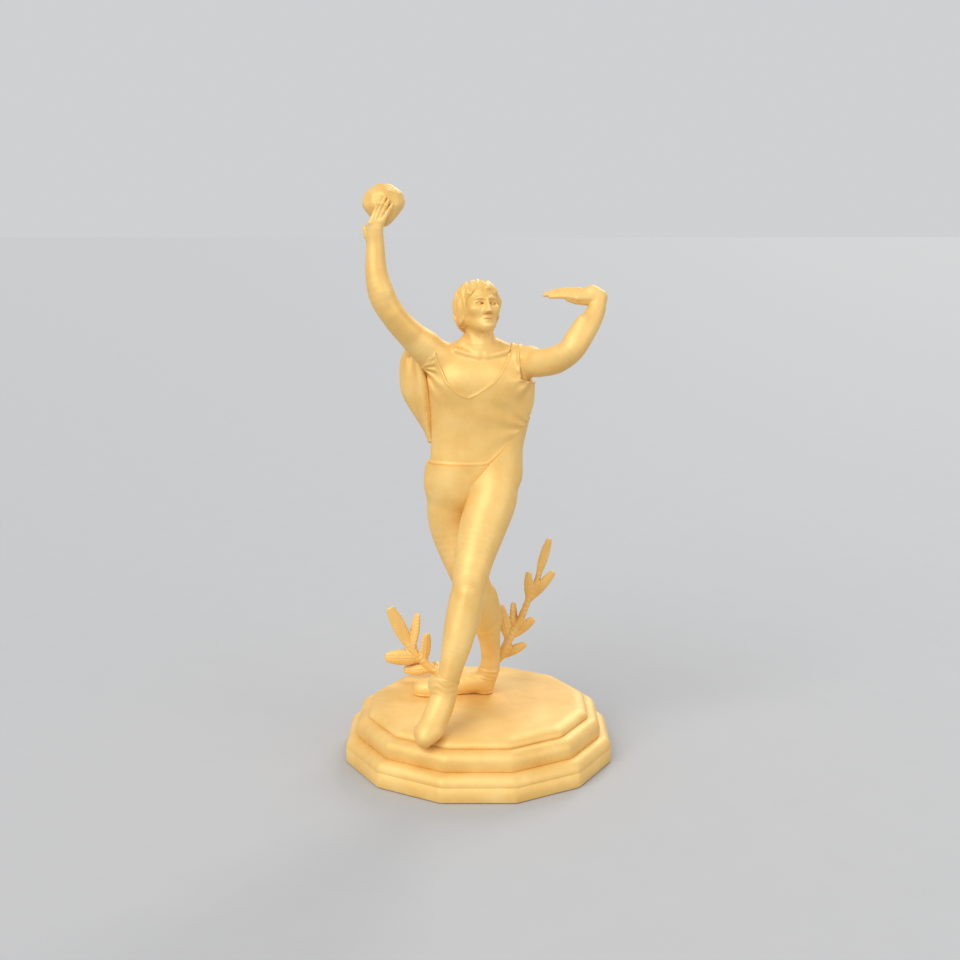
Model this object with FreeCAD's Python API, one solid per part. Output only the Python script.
"""Figure trophy: a cast figure striding over a three-tier plinth, with a ball on one raised hand.

The row frame has its origin at the centre of the underside, +Z up, and the figure faces -Y.
Every casting meets its neighbours on the face where it would be soldered, over a steel dowel.
"""
import FreeCAD, Part
import math
import os

V = FreeCAD.Vector
UP = V(0, 0, 1)
DOWN = V(0, 0, -1)

# Driving dimensions, in millimetres
SIDES = 12
CORNER = 5.4
PAD_THICKNESS, PAD_APOTHEM = 0.6, 64.0
FOOT = 0.2
LOWER_APOTHEM, LOWER_TOP = 68.4, 13.3
MIDDLE_APOTHEM, MIDDLE_TOP = 62.6, 22.8
UPPER_APOTHEM, UPPER_TOP = 56.5, 27.3
EDGE_ROUND = 5.0
UPPER_EDGE_ROUND = 4.2
BALLAST_RADIUS, BALLAST_BOTTOM, BALLAST_TOP = 50.0, 0.8, 8.3
NUT_WELL_RADIUS, NUT_WELL_TOP = 38.0, 18.5

SCREW_COUNT, SCREW_CIRCLE = 3, 44.0
SCREW_RADIUS, SCREW_HEAD_RADIUS, SCREW_HEAD_HEIGHT = 2.0, 3.5, 3.0
SCREW_CLEARANCE, HEAD_SINK = 0.25, 1.0
SCREW_TOP = 25.6
SOCKET_ACROSS_FLATS, SOCKET_DEPTH = 3.0, 1.8
BALLAST_CLEARANCE = 0.4

STUD_PLACE = (-6.0, 9.5)
STUD_RADIUS, STUD_BOTTOM, STUD_TOP = 1.5, 14.4, 36.0
NUT_ACROSS_FLATS, NUT_HEIGHT = 5.5, 2.4
WASHER_RADIUS, WASHER_THICKNESS = 3.5, 0.5
TOE_PIN_PLACE = (-23.5, -51.5)
TOE_PIN_RADIUS, TOE_PIN_BOTTOM, TOE_PIN_TOP = 1.0, 23.8, 31.5

WAIST_SEAM = 153.0
NECK_SEAM = 213.5
BALL_CENTRE, BALL_RADIUS = V(-46.5, 2.0, 282.0), 10.9
CAPE_THICKNESS = 2.2
STEM_RADIUS, TWIG_RADIUS = 2.2, 1.5
LEAF_THICKNESS = 2.4
PEG_DEPTH, PEG_STAND = 3.0, 0.5


# Solids that several sub-parts share

def section(centre, normal, across, half_width, half_depth):
    """A closed elliptical wire round centre, in the plane of normal, with its width along across."""
    normal = V(normal).normalize()
    across = V(across) - normal * V(across).dot(normal)
    across.normalize()
    deep = normal.cross(across)
    points = []
    for step in range(16):
        turn = 2 * math.pi * step / 16
        sideways = across * (half_width * math.cos(turn))
        points.append(V(centre) + sideways + deep * (half_depth * math.sin(turn)))
    curve = Part.BSplineCurve()
    curve.interpolate(Points=points, PeriodicFlag=True)
    return Part.Wire(curve.toShape())


def limb(stations, across, first_normal=None, last_normal=None):
    """A solid lofted through stations of (x, y, z, half width, half depth), each square to the run."""
    centres = [V(*s[:3]) for s in stations]
    wires = []
    for i, (x, y, z, half_width, half_depth) in enumerate(stations):
        normal = centres[min(i + 1, len(centres) - 1)] - centres[max(i - 1, 0)]
        if i == 0 and first_normal:
            normal = first_normal
        if i == len(stations) - 1 and last_normal:
            normal = last_normal
        wires.append(section(centres[i], normal, across, half_width, half_depth))
    return Part.makeLoft(wires, True, False)


def rod(centre, direction, radius, length):
    """A cylinder whose middle is at centre."""
    direction = V(direction).normalize()
    return Part.makeCylinder(radius, length, V(centre) - direction * (length / 2), direction)


def ellipsoid(centre, half_width, half_depth, half_height, tilt=0.0):
    """An ellipsoid, leaning back about X by tilt degrees."""
    ball = Part.makeSphere(1.0)
    stretch = FreeCAD.Matrix()
    stretch.scale(half_width, half_depth, half_height)
    ball = ball.transformGeometry(stretch)
    ball.rotate(V(0, 0, 0), V(1, 0, 0), tilt)
    ball.translate(V(centre))
    return ball


def largest_solid(shape):
    """The main solid left by a cut, without slivers."""
    return max(shape.Solids, key=lambda solid: solid.Volume)


# Plinth

def rounded_polygon(apothem, height):
    """A wire of SIDES flats, one of them facing -Y, with rounded corners."""
    step = 2 * math.pi / SIDES
    half_flat = (apothem - CORNER) * math.tan(step / 2)
    edges = []
    for side in range(SIDES):
        out = V(math.sin(side * step), -math.cos(side * step), 0)
        along = V(math.cos(side * step), math.sin(side * step), 0)
        start = out * apothem - along * half_flat + UP * height
        end = out * apothem + along * half_flat + UP * height
        edges.append(Part.LineSegment(start, end).toShape())
        turn = (side + 0.5) * step
        corner_centre = (apothem - CORNER) / math.cos(step / 2)
        bisector = V(math.sin(turn), -math.cos(turn), 0)
        middle = bisector * (corner_centre + CORNER) + UP * height
        next_turn = (side + 1) * step
        next_out = V(math.sin(next_turn), -math.cos(next_turn), 0)
        next_along = V(math.cos(next_turn), math.sin(next_turn), 0)
        arc_end = next_out * apothem - next_along * half_flat + UP * height
        edges.append(Part.Arc(end, middle, arc_end).toShape())
    return Part.Wire(edges)


def slab(apothem, bottom, top):
    return Part.Face(rounded_polygon(apothem, bottom)).extrude(UP * (top - bottom))


def tier(apothem, bottom, top, edge_round):
    """One tier of the plinth, its top edge rounded all the way round."""
    block = slab(apothem, bottom, top)
    rim = [e for e in block.Edges if all(abs(v.Z - top) < 1e-6 for v in e.Vertexes)]
    return block.makeFillet(edge_round, rim)


def screw_places():
    for i in range(SCREW_COUNT):
        turn = 2 * math.pi * i / SCREW_COUNT + math.pi / 2
        yield SCREW_CIRCLE * math.cos(turn), SCREW_CIRCLE * math.sin(turn)


def stud_hole(bottom, top):
    return Part.makeCylinder(STUD_RADIUS, top - bottom, V(*STUD_PLACE, bottom))


def drill(shape, radius, bottom, top):
    """The shape with a hole of that radius at each plinth screw."""
    for x, y in screw_places():
        shape = shape.cut(Part.makeCylinder(radius, top - bottom, V(x, y, bottom)))
    return shape


def make_lower_tier():
    """The lowest tier, hollowed for the ballast and with a shallow recess for the pad."""
    shape = tier(LOWER_APOTHEM, FOOT, LOWER_TOP, EDGE_ROUND)
    shape = shape.cut(slab(PAD_APOTHEM, FOOT, PAD_THICKNESS))
    shape = shape.cut(Part.makeCylinder(BALLAST_RADIUS, BALLAST_TOP - PAD_THICKNESS, UP * PAD_THICKNESS))
    return drill(shape, SCREW_RADIUS + SCREW_CLEARANCE, BALLAST_TOP, LOWER_TOP)


def make_middle_tier():
    shape = tier(MIDDLE_APOTHEM, LOWER_TOP, MIDDLE_TOP, EDGE_ROUND)
    shape = shape.cut(Part.makeCylinder(NUT_WELL_RADIUS, NUT_WELL_TOP - LOWER_TOP, UP * LOWER_TOP))
    shape = shape.cut(stud_hole(NUT_WELL_TOP, MIDDLE_TOP))
    return drill(shape, SCREW_RADIUS + SCREW_CLEARANCE, LOWER_TOP, MIDDLE_TOP)


def make_upper_tier(pegs):
    shape = tier(UPPER_APOTHEM, MIDDLE_TOP, UPPER_TOP, UPPER_EDGE_ROUND)
    shape = shape.cut(stud_hole(MIDDLE_TOP, UPPER_TOP)).cut(make_toe_pin())
    for peg in pegs:
        shape = shape.cut(peg)
    return drill(shape, SCREW_RADIUS, MIDDLE_TOP, SCREW_TOP)


def make_ballast_disc():
    height = BALLAST_TOP - BALLAST_BOTTOM
    disc = Part.makeCylinder(BALLAST_RADIUS - BALLAST_CLEARANCE, height, UP * BALLAST_BOTTOM)
    disc = drill(disc, SCREW_RADIUS + SCREW_CLEARANCE, BALLAST_BOTTOM, BALLAST_TOP)
    head_top = BALLAST_BOTTOM + SCREW_HEAD_HEIGHT + HEAD_SINK
    return drill(disc, SCREW_HEAD_RADIUS + SCREW_CLEARANCE, BALLAST_BOTTOM, head_top)


def make_baize_pad():
    return slab(PAD_APOTHEM, 0, PAD_THICKNESS)


def make_plinth_screws():
    """Cap screws that clamp the three tiers and the ballast disc together from below."""
    head_bottom = BALLAST_BOTTOM + HEAD_SINK
    head_top = head_bottom + SCREW_HEAD_HEIGHT
    screws = []
    for x, y in screw_places():
        head = Part.makeCylinder(SCREW_HEAD_RADIUS, SCREW_HEAD_HEIGHT, V(x, y, head_bottom))
        socket = Part.Face(hexagon(SOCKET_ACROSS_FLATS, head_bottom, x, y)).extrude(UP * SOCKET_DEPTH)
        shank = Part.makeCylinder(SCREW_RADIUS, SCREW_TOP - head_top, V(x, y, head_top))
        screws.append(head.fuse(shank).cut(socket).removeSplitter())
    return Part.Compound(screws)


# Fixings of the figure

def hexagon(across_flats, height, x, y):
    corner = across_flats / math.sqrt(3)
    turns = [math.pi / 3 * i for i in range(7)]
    return Part.makePolygon([V(x + corner * math.cos(t), y + corner * math.sin(t), height) for t in turns])


def make_rear_foot_stud():
    return Part.makeCylinder(STUD_RADIUS, STUD_TOP - STUD_BOTTOM, V(*STUD_PLACE, STUD_BOTTOM))


def make_stud_washer():
    bottom = NUT_WELL_TOP - WASHER_THICKNESS
    return ring(WASHER_RADIUS, STUD_RADIUS, bottom, WASHER_THICKNESS)


def make_stud_nut():
    bottom = NUT_WELL_TOP - WASHER_THICKNESS - NUT_HEIGHT
    block = Part.Face(hexagon(NUT_ACROSS_FLATS, bottom, *STUD_PLACE)).extrude(UP * NUT_HEIGHT)
    return block.cut(Part.makeCylinder(STUD_RADIUS, NUT_HEIGHT, V(*STUD_PLACE, bottom)))


def ring(outer, inner, bottom, height):
    place = V(*STUD_PLACE, bottom)
    return Part.makeCylinder(outer, height, place).cut(Part.makeCylinder(inner, height, place))


def make_toe_pin():
    return Part.makeCylinder(TOE_PIN_RADIUS, TOE_PIN_TOP - TOE_PIN_BOTTOM, V(*TOE_PIN_PLACE, TOE_PIN_BOTTOM))


# Figure

def block_below_figure():
    """All that lies inside the plinth, to cut away from what stands on it."""
    return Part.makeBox(2 * UPPER_APOTHEM, 2 * UPPER_APOTHEM, UPPER_TOP, V(-UPPER_APOTHEM, -UPPER_APOTHEM, 0))


def upright(stations):
    """A solid lofted through level ellipses of (z, x, y, half width, half depth)."""
    wires = [section(V(x, y, z), UP, V(1, 0, 0), a, b) for z, x, y, a, b in stations]
    return Part.makeLoft(wires, True, False)


def make_torso():
    """The tunic from its hem to the collar."""
    return upright([
        (WAIST_SEAM, -2.4, 1.0, 23.8, 13.0),
        (160.0, -1.3, 1.0, 23.6, 12.0),
        (168.0, -0.3, 1.0, 23.8, 11.6),
        (180.0, 1.2, 0.5, 25.8, 12.8),
        (191.0, 1.2, 0.0, 27.0, 13.8),
        (200.0, 1.0, 0.0, 26.2, 12.8),
        (206.0, 0.8, 0.0, 21.5, 10.6),
        (210.0, 1.5, 0.0, 13.5, 8.6),
        (NECK_SEAM, 2.0, 0.0, 7.6, 7.4),
    ])


def make_hips():
    return upright([
        (131.0, -3.0, 0.0, 6.0, 6.0),
        (134.0, -3.2, 0.5, 15.0, 11.0),
        (140.0, -3.2, 1.0, 22.5, 13.6),
        (147.0, -3.0, 1.4, 24.2, 14.2),
        (WAIST_SEAM, -2.4, 1.0, 23.8, 13.0),
    ])


def make_head():
    """Head and neck in one casting, leaning back and turned a little to +X."""
    neck = upright([
        (NECK_SEAM, 2.0, 0.0, 7.6, 7.4),
        (218.0, 1.6, 0.6, 7.0, 7.0),
        (226.0, 0.4, 1.4, 7.4, 7.6),
    ])
    skull = ellipsoid(V(-1.4, 1.0, 233.4), 12.6, 14.4, 13.0, -20.0)
    jaw = ellipsoid(V(1.4, -4.6, 226.2), 8.0, 8.2, 8.4, -20.0)
    return skull.fuse(jaw).fuse(neck).removeSplitter()


def make_right_arm():
    """The raised arm, from inside the shoulder to the wrist."""
    return limb([
        (-14.0, 0.0, 203.0, 9.0, 9.0),
        (-22.0, -1.5, 209.5, 9.8, 9.6),
        (-32.0, -5.5, 218.2, 8.0, 7.8),
        (-41.0, -9.5, 227.6, 6.8, 6.8),
        (-47.8, -12.0, 239.5, 6.6, 6.4),
        (-50.2, -10.6, 252.0, 5.6, 5.6),
        (-50.8, -8.4, 265.0, 4.5, 3.9),
    ], V(1, 0, 0.3), last_normal=UP)


def make_right_hand():
    palm = limb([
        (-50.8, -8.4, 265.0, 4.5, 3.9),
        (-49.8, -9.0, 270.0, 5.4, 3.2),
        (-47.8, -9.8, 275.0, 5.4, 2.8),
        (-45.0, -10.0, 280.0, 4.2, 2.2),
        (-42.4, -9.4, 284.4, 2.2, 1.5),
    ], V(1, 0, 0.3), first_normal=UP)
    thumb = limb([
        (-52.6, -8.0, 265.4, 2.0, 2.0),
        (-54.4, -7.2, 268.6, 1.7, 1.7),
        (-55.2, -5.8, 271.6, 1.2, 1.2),
    ], V(0, 1, 0))
    return palm.fuse(thumb).removeSplitter()


def make_left_arm():
    """The bent arm, from inside the shoulder to the wrist."""
    return limb([
        (14.0, 0.0, 205.0, 8.0, 8.0),
        (22.0, -3.0, 205.6, 8.2, 8.0),
        (30.0, -9.5, 206.0, 7.0, 7.0),
        (38.5, -17.0, 208.4, 6.4, 6.6),
        (46.0, -21.5, 214.0, 6.2, 6.4),
        (52.4, -17.5, 223.6, 5.6, 5.6),
        (58.0, -10.0, 234.0, 4.6, 4.2),
    ], V(0, 1, 0.2))


def make_left_hand():
    """The hand, bent at the wrist so that it points back over the shoulder, palm down."""
    palm = limb([
        (60.2, -9.6, 237.8, 4.0, 3.0),
        (56.0, -9.6, 239.0, 5.0, 4.0),
        (50.0, -10.4, 238.8, 5.4, 3.6),
        (43.0, -12.0, 238.6, 4.6, 2.6),
        (36.6, -13.2, 238.8, 3.6, 2.0),
        (31.8, -13.8, 239.2, 2.0, 1.4),
    ], V(0, 1, 0))
    heel = ellipsoid(V(58.6, -9.4, 236.4), 4.6, 4.4, 5.0)
    return palm.fuse(heel).removeSplitter()


def make_front_thigh():
    return limb([
        (9.0, -3.0, 146.0, 11.0, 11.0),
        (7.0, -7.6, 137.0, 13.0, 12.6),
        (2.6, -14.0, 125.0, 12.4, 12.4),
        (-1.6, -21.6, 112.0, 10.6, 10.8),
        (-3.8, -27.2, 102.0, 9.4, 9.8),
    ], V(1, 0, 0), last_normal=DOWN)


def make_front_shin():
    return limb([
        (-3.8, -27.2, 102.0, 9.4, 9.8),
        (-5.2, -30.0, 94.0, 9.0, 9.2),
        (-7.8, -34.0, 82.0, 8.9, 9.4),
        (-10.6, -38.0, 70.0, 7.6, 8.2),
        (-13.2, -40.8, 60.0, 6.2, 6.6),
        (-15.0, -42.6, 51.5, 5.7, 6.0),
    ], V(1, 0, 0), first_normal=DOWN, last_normal=DOWN)


def make_front_shoe():
    """The shoe of the front foot, heel raised, standing on its toe."""
    return limb([
        (-15.0, -42.6, 51.5, 5.7, 6.0),
        (-16.6, -42.6, 45.0, 6.6, 7.6),
        (-19.2, -46.0, 38.6, 7.2, 7.4),
        (-22.2, -51.0, 33.0, 7.4, 6.2),
        (-24.8, -55.4, 29.2, 6.2, 4.4),
        (-26.6, -58.4, 26.8, 3.4, 2.6),
    ], V(1, 0, 0), first_normal=DOWN)


def make_rear_thigh():
    return limb([
        (-12.6, 2.6, 146.0, 11.0, 11.0),
        (-13.6, 4.0, 135.0, 12.8, 12.4),
        (-13.4, 4.4, 123.0, 12.4, 12.4),
        (-8.4, 3.4, 105.0, 10.8, 11.0),
        (-2.8, 1.6, 91.0, 9.4, 9.4),
    ], V(1, 0, 0), last_normal=DOWN)


def make_rear_shin():
    return limb([
        (-2.8, 1.6, 91.0, 9.4, 9.4),
        (0.8, 3.4, 80.0, 9.0, 8.6),
        (3.6, 6.0, 70.0, 8.8, 8.6),
        (5.8, 8.4, 58.0, 6.0, 6.6),
        (5.8, 9.6, 47.0, 4.9, 5.6),
        (5.2, 10.0, 41.0, 5.0, 5.6),
    ], V(1, 0, 0), first_normal=DOWN, last_normal=DOWN)


def make_rear_shoe():
    """The shoe of the rear foot, flat on the plinth and turned out to -X."""
    ankle = limb([
        (5.2, 10.0, 41.0, 5.0, 5.6),
        (3.6, 10.0, 35.0, 5.6, 5.4),
        (1.6, 9.8, 29.0, 5.4, 5.0),
    ], V(1, 0, 0), first_normal=DOWN, last_normal=DOWN)
    foot = limb([
        (8.0, 10.4, 31.4, 2.2, 2.6),
        (3.0, 10.2, 31.8, 5.0, 5.0),
        (-6.0, 9.6, 31.8, 5.6, 5.6),
        (-16.0, 8.6, 30.6, 6.2, 4.6),
        (-26.0, 7.6, 29.6, 6.2, 3.6),
        (-34.2, 7.0, 29.0, 3.2, 2.2),
    ], V(0, 1, 0))
    return foot.fuse(ankle).cut(block_below_figure())


def make_ball():
    return Part.makeSphere(BALL_RADIUS, BALL_CENTRE)


def cape_section(z, plan):
    """A closed strip, CAPE_THICKNESS wide, whose outer line runs smoothly through the points of plan."""
    outer = [V(x, y, z) for x, y in plan]
    inner = []
    for i, point in enumerate(outer):
        run = outer[min(i + 1, len(outer) - 1)] - outer[max(i - 1, 0)]
        inner.append(point + run.cross(UP).normalize() * -CAPE_THICKNESS)
    edges = []
    for points in (outer, inner[::-1]):
        curve = Part.BSplineCurve()
        curve.interpolate(points)
        edges.append(curve.toShape())
    ends = [Part.LineSegment(outer[-1], inner[-1]).toShape(), Part.LineSegment(inner[0], outer[0]).toShape()]
    return Part.Wire([edges[0], ends[0], edges[1], ends[1]])


def make_cape():
    """The drape that hangs from the raised shoulder, round the side and over the back to the waist."""
    return Part.makeLoft([
        cape_section(211.0, [(-26.0, 5.0), (-33.5, 7.0), (-32.0, 12.0), (-22.0, 14.0), (-10.0, 15.0)]),
        cape_section(203.0, [(-30.4, -0.6), (-38.0, 4.5), (-35.0, 11.5), (-22.0, 15.0), (-9.0, 16.4)]),
        cape_section(188.0, [(-30.4, -2.6), (-37.4, 3.5), (-34.0, 11.0), (-22.0, 15.6), (-8.0, 17.4)]),
        cape_section(176.0, [(-28.4, -2.0), (-31.6, 4.0), (-29.0, 10.0), (-20.0, 14.0), (-8.0, 16.4)]),
        cape_section(165.5, [(-26.6, 0.6), (-26.8, 5.0), (-25.0, 9.0), (-18.0, 12.6), (-8.0, 15.0)]),
    ], True, True)


# Laurel branches

def stem(points, thick, thin):
    """A round stem through points, tapering from thick to thin."""
    last = len(points) - 1
    stations = []
    for i, (x, y, z) in enumerate(points):
        radius = thick + (thin - thick) * i / last
        stations.append((x, y, z, radius, radius))
    return limb(stations, V(1, 0, 0))


def leaf(root, tip, width, facing=V(0, -1, 0)):
    """A lens-shaped leaf from root to tip, its flat side towards facing."""
    root, tip = V(*root), V(*tip)
    along = (tip - root).normalize()
    side = along.cross(facing).normalize()
    normal = side.cross(along)
    middle = (root + tip) / 2
    right = Part.Arc(root, middle + side * (width / 2), tip).toShape()
    left = Part.Arc(tip, middle - side * (width / 2), root).toShape()
    blade = Part.Face(Part.Wire([right, left]))
    blade.translate(normal * (-LEAF_THICKNESS / 2))
    return blade.extrude(normal * LEAF_THICKNESS)


def peg(place):
    """The spigot of a branch, sunk in the top of the plinth."""
    return Part.makeCylinder(STEM_RADIUS, PEG_DEPTH + PEG_STAND, V(place[0], place[1], UPPER_TOP - PEG_DEPTH))


LEFT_ROOT = (-14.0, 27.0, UPPER_TOP)
LEFT_STEM = [
    LEFT_ROOT, (-18.4, 28.4, 29.8), (-25.3, 30.0, 33.4),
    (-31.4, 30.0, 39.3), (-37.0, 30.0, 45.4), (-39.8, 30.0, 50.2),
]
LEFT_LEAVES = [
    ((-37.7, 30.0, 46.6), (-48.6, 30.0, 68.2), 7.6),
    ((-36.2, 30.0, 44.8), (-33.1, 30.0, 65.0), 5.6),
    ((-29.6, 30.0, 38.0), (-28.2, 30.0, 53.9), 5.2),
    ((-31.6, 30.0, 40.2), (-51.0, 30.0, 40.6), 8.4),
    ((-25.4, 30.0, 34.6), (-40.2, 30.0, 32.6), 6.2),
]
RIGHT_ROOT = (4.6, 18.2, UPPER_TOP)
RIGHT_STEM = [
    RIGHT_ROOT, (5.3, 17.8, 35.8), (9.8, 17.4, 42.9), (14.3, 17.0, 50.0), (18.0, 17.0, 59.4),
    (22.5, 17.0, 66.4), (26.2, 17.0, 75.7), (29.8, 17.0, 84.2), (32.0, 17.0, 91.0),
]
RIGHT_LEAVES = [
    ((31.8, 17.0, 90.4), (37.0, 17.0, 109.8), 4.8),
    ((26.8, 17.0, 76.6), (26.2, 17.0, 92.0), 4.6),
    ((27.4, 17.0, 77.0), (40.0, 17.0, 92.2), 4.8),
    ((16.0, 17.0, 54.0), (11.8, 17.0, 73.4), 5.4),
    ((19.0, 17.0, 61.6), (18.3, 17.0, 75.0), 4.2),
    ((17.0, 17.0, 56.0), (29.0, 17.0, 66.2), 5.0),
    ((11.6, 17.0, 45.0), (24.8, 17.0, 52.2), 4.8),
]


def branch(root, stem_points, leaves):
    """One cast branch: its spigot, stem and leaves."""
    shape = stem(stem_points, STEM_RADIUS, TWIG_RADIUS)
    for start, tip, width in leaves:
        shape = shape.fuse(leaf(start, tip, width))
    return shape.cut(block_below_figure()).fuse(peg(root)).removeSplitter()


# Dowels between castings: name, (centre, direction, radius, length), the castings that they cross

DOWELS = {
    "neck_dowel": ([((2.0, 0.2, NECK_SEAM), (0, 0, 1), 1.5, 14.0)], ["head", "torso"]),
    "waist_dowels": ([((-10.0, 1.0, WAIST_SEAM), (0, 0, 1), 2.0, 14.0),
                      ((6.0, 1.0, WAIST_SEAM), (0, 0, 1), 2.0, 14.0)], ["torso", "hips"]),
    "shoulder_dowels": ([((-22.5, -1.7, 210.0), (-10.0, -3.0, 8.6), 1.5, 20.0),
                         ((23.5, -3.6, 205.6), (8.0, -6.5, 0.4), 1.5, 14.0)],
                        ["torso", "right_arm", "left_arm"]),
    "wrist_dowels": ([((-50.8, -8.4, 265.0), (0, 0, 1), 0.8, 7.0),
                      ((58.0, -10.0, 234.2), (5.6, 7.5, 10.4), 0.8, 6.0)],
                     ["right_arm", "right_hand", "left_arm", "left_hand"]),
    "hip_dowels": ([((6.6, -8.2, 136.0), (4.4, 6.4, 12.0), 1.5, 16.0),
                    ((-13.0, 3.6, 138.0), (0, 0, 1), 1.5, 16.0)], ["hips", "front_thigh", "rear_thigh"]),
    "knee_dowels": ([((-3.8, -27.2, 102.0), (0, 0, 1), 1.5, 12.0),
                     ((-2.8, 1.6, 91.0), (0, 0, 1), 1.5, 12.0)],
                    ["front_thigh", "front_shin", "rear_thigh", "rear_shin"]),
    "ankle_dowels": ([((-15.0, -42.6, 51.5), (0, 0, 1), 1.0, 9.0),
                      ((5.2, 10.0, 41.0), (0, 0, 1), 1.0, 9.0)],
                     ["front_shin", "front_shoe", "rear_shin", "rear_shoe"]),
    "ball_pin": ([((-47.6, -7.0, 277.6), (1.0, 9.0, 4.4), 0.6, 7.0)], ["right_hand", "ball"]),
    "cape_pins": ([((-16.0, 13.6, 200.0), (-0.3, 1, 0), 0.8, 7.0),
                   ((-14.0, 13.2, 178.0), (-0.2, 1, 0), 0.8, 7.0)], ["cape", "torso"]),
}


def make_castings():
    """Every casting of the figure, each cut back to the face where it meets the one before."""
    made = {"torso": make_torso(), "hips": make_hips(), "ball": make_ball()}
    made["head"] = make_head().cut(made["torso"])
    for name, shape, against in [
        ("front_thigh", make_front_thigh(), ["hips", "torso"]),
        ("rear_thigh", make_rear_thigh(), ["hips", "torso", "front_thigh"]),
        ("front_shin", make_front_shin(), []),
        ("rear_shin", make_rear_shin(), ["front_shin"]),
        ("front_shoe", make_front_shoe(), []),
        ("rear_shoe", make_rear_shoe(), []),
        ("right_arm", make_right_arm(), ["torso"]),
        ("left_arm", make_left_arm(), ["torso"]),
        ("right_hand", make_right_hand(), ["ball"]),
        ("left_hand", make_left_hand(), ["left_arm"]),
        ("cape", make_cape(), ["torso", "right_arm"]),
    ]:
        for other in against:
            shape = shape.cut(made[other])
        made[name] = largest_solid(shape)
    return made


def make_figure():
    """The castings with their dowel holes, and the dowels."""
    castings = make_castings()
    dowels = {}
    for name, (places, crossed) in DOWELS.items():
        rods = [rod(V(*at), V(*towards), radius, length) for at, towards, radius, length in places]
        dowels[name] = Part.Compound(rods)
        for casting in crossed:
            castings[casting] = castings[casting].cut(dowels[name])
    castings["rear_shoe"] = castings["rear_shoe"].cut(make_rear_foot_stud())
    return castings, dowels


def main():
    os.makedirs("parts", exist_ok=True)
    castings, dowels = make_figure()
    upper_tier = make_upper_tier([peg(LEFT_ROOT), peg(RIGHT_ROOT)])
    castings["front_shoe"] = castings["front_shoe"].cut(upper_tier).cut(make_toe_pin())
    parts = {
        "lower_tier": make_lower_tier(),
        "middle_tier": make_middle_tier(),
        "upper_tier": upper_tier,
        "ballast_disc": make_ballast_disc(),
        "baize_pad": make_baize_pad(),
        "plinth_screws": make_plinth_screws(),
        "rear_foot_stud": make_rear_foot_stud(),
        "stud_washer": make_stud_washer(),
        "stud_nut": make_stud_nut(),
        "front_toe_pin": make_toe_pin(),
        "left_branch": branch(LEFT_ROOT, LEFT_STEM, LEFT_LEAVES),
        "right_branch": branch(RIGHT_ROOT, RIGHT_STEM, RIGHT_LEAVES),
    }
    parts.update(castings)
    parts.update(dowels)
    for name, shape in parts.items():
        shape.exportStep("parts/%s.step" % name)


main()
